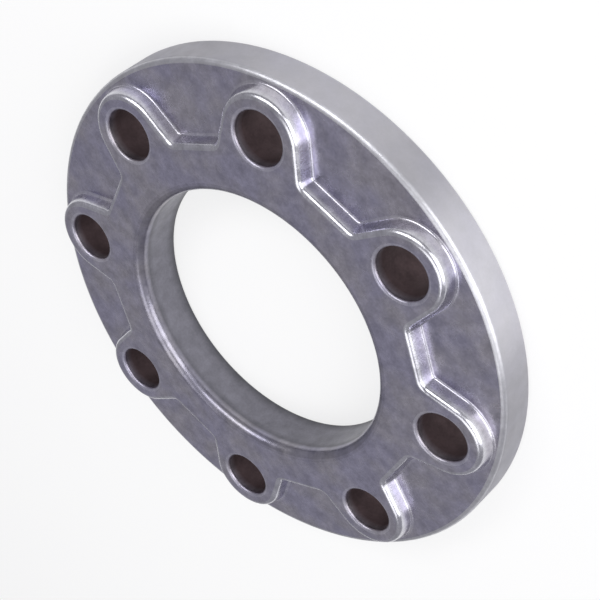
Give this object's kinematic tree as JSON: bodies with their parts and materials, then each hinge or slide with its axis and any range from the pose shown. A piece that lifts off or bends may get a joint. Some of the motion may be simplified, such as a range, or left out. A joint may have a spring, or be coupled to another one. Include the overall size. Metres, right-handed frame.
{
  "type": "pipe flange",
  "caption": "Loose cast backing flange with a plain round bore, a circle of bolt holes and a raised lobed relief that joins the holes to the bore's rim on the front.",
  "frame": {"origin": "centre of the bore on the flat back face", "axes": "+Z along the bore axis from the flat back to the raised front; +X through the centre of one bolt hole"},
  "size_m": [0.1998, 0.1998, 0.0195],
  "materials": {
    "cast_metal": "as-cast satin grey metal, lightly blasted, with brighter worn edges"
  },
  "bodies": {
    "root": {"backing_flange": "cast_metal"}
  },
  "joints": []
}
